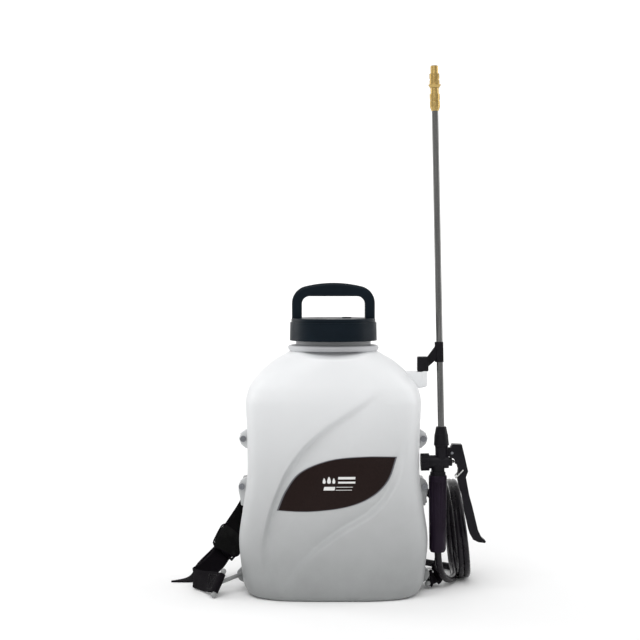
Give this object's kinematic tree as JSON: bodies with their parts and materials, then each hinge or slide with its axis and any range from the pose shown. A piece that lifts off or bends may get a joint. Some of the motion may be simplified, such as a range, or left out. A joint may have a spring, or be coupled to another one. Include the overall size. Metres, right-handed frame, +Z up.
{
  "type": "backpack sprayer",
  "caption": "Battery backpack sprayer: moulded tank with screw lid and handle, clipped trigger lance, coiled hose, shoulder straps and rear pump unit.",
  "frame": {"origin": "centre of the tank's flat base, on the ground", "axes": "+Z up, -Y the tank's front with the label, +Y the wearer's side, +X the lance side"},
  "size_m": [0.4798, 0.2441, 0.785],
  "materials": {
    "tank_plastic": "translucent white blow-moulded polyethylene",
    "label_print": "dark printed film",
    "lid_plastic": "smooth dark navy polypropylene",
    "black_plastic": "satin black moulded plastic",
    "grey_plastic": "satin grey moulded plastic",
    "white_plastic": "natural polypropylene",
    "grip_plastic": "fluted satin black plastic",
    "seal_rubber": "matte black rubber",
    "hose_rubber": "glossy black reinforced hose",
    "stainless": "drawn stainless tube",
    "zinc_steel": "dark zinc-plated steel",
    "spring_steel": "bright spring wire",
    "brass": "machined brass",
    "copper": "plated spring copper",
    "webbing": "woven black polypropylene webbing",
    "pad_fabric": "padded nylon with a bound edge",
    "cell_wrap": "shrink-wrapped cells",
    "switch_red": "glossy red rocker"
  },
  "bodies": {
    "tank": {"tank_shell": "tank_plastic", "front_label": "label_print", "side_screws": "zinc_steel", "back_frame": "grey_plastic", "unit_housing": "black_plastic", "pump_cover": "black_plastic", "cover_screws": "zinc_steel", "switch_bezel": "black_plastic", "charge_socket": "black_plastic", "pump_head": "black_plastic", "pump_diaphragm": "seal_rubber", "pump_motor": "zinc_steel", "suction_pipe": "black_plastic", "outlet_elbow": "black_plastic", "battery_terminals": "copper", "lance_clip": "black_plastic", "hose_lead": "hose_rubber", "hose_coil": "hose_rubber", "hose_tail": "hose_rubber", "shoulder_pad_left": "pad_fabric", "shoulder_pad_right": "pad_fabric", "strap_web_left": "webbing", "strap_web_right": "webbing", "strap_tail_left": "webbing", "ladder_lock_left": "black_plastic", "ladder_lock_right": "black_plastic", "strap_hook_left": "grey_plastic", "strap_hook_right": "grey_plastic"},
    "lid_seal": {"lid_gasket": "seal_rubber", "strainer_basket": "white_plastic"},
    "lid": {"lid_cap": "lid_plastic", "vent_valve": "seal_rubber"},
    "gun": {"lance_tube": "stainless", "lance_nut": "black_plastic", "lance_seal": "seal_rubber", "nozzle_stem": "brass", "nozzle_nut": "brass", "gun_body": "black_plastic", "valve_cap": "black_plastic", "valve_spring": "spring_steel", "gland_nut": "black_plastic", "pivot_pin": "zinc_steel", "grip_collar": "black_plastic", "grip": "grip_plastic"},
    "nozzle": {"nozzle_tip": "brass"},
    "trigger": {"trigger_lever": "black_plastic"},
    "valve": {"valve_rod": "stainless"},
    "bail": {"lock_bail": "spring_steel"},
    "battery": {"battery_case": "black_plastic", "battery_cells": "cell_wrap"},
    "battery_release": {"battery_button": "grey_plastic"},
    "switch": {"rocker_switch": "switch_red"},
    "rotor": {"motor_rotor": "stainless"}
  },
  "joints": [
    {"name": "lid_rise", "type": "slide", "parent": "tank", "child": "lid_seal", "axis": [0, 0, 1], "range_m": [0, 0.016]},
    {"name": "lid_turn", "type": "hinge", "parent": "lid_seal", "child": "lid", "pos_m": [0, 0, 0.39], "axis": [0, 0, 1], "range_deg": [0, 720]},
    {"name": "lance_unclip", "type": "slide", "parent": "tank", "child": "gun", "axis": [1, 0, 0], "range_m": [0, 0.022], "deforming": ["hose_lead"]},
    {"name": "nozzle_turn", "type": "hinge", "parent": "gun", "child": "nozzle", "pos_m": [0.14977, -0.012, 0.76488], "axis": [-0.0218, 0, 0.9998], "range_deg": [0, 360]},
    {"name": "trigger_squeeze", "type": "hinge", "parent": "gun", "child": "trigger", "pos_m": [0.17689, -0.012, 0.20934], "axis": [0, 1, 0], "range_deg": [0, 11], "stiffness_Nm_per_rad": 0.6, "springref_deg": -11.46},
    {"name": "valve_push", "type": "slide", "parent": "gun", "child": "valve", "axis": [-0.9998, 0, -0.0218], "range_m": [0, 0.0028], "deforming": ["valve_spring"]},
    {"name": "bail_swing", "type": "hinge", "parent": "trigger", "child": "bail", "pos_m": [0.19295, -0.012, 0.18368], "axis": [0, 1, 0], "range_deg": [0, 40]},
    {"name": "battery_slide", "type": "slide", "parent": "tank", "child": "battery", "axis": [0, 1, 0], "range_m": [0, 0.07]},
    {"name": "battery_release_press", "type": "slide", "parent": "battery", "child": "battery_release", "axis": [0, -1, 0], "range_m": [0, 0.0025], "stiffness_N_per_m": 800, "springref_m": -0.002},
    {"name": "switch_rock", "type": "hinge", "parent": "tank", "child": "switch", "pos_m": [0.068, 0.113, 0.104], "axis": [0, 0, 1], "range_deg": [0, 14]},
    {"name": "motor_spin", "type": "hinge", "parent": "tank", "child": "rotor", "pos_m": [0.06, 0.078, 0.08], "axis": [0, 0, 1], "continuous": true}
  ],
  "couplings": [
    {"joint": "lid_rise", "follows": "lid_turn", "m_per_rad": 0.0012732},
    {"joint": "valve_push", "follows": "trigger_squeeze", "m_per_rad": 0.0139}
  ]
}
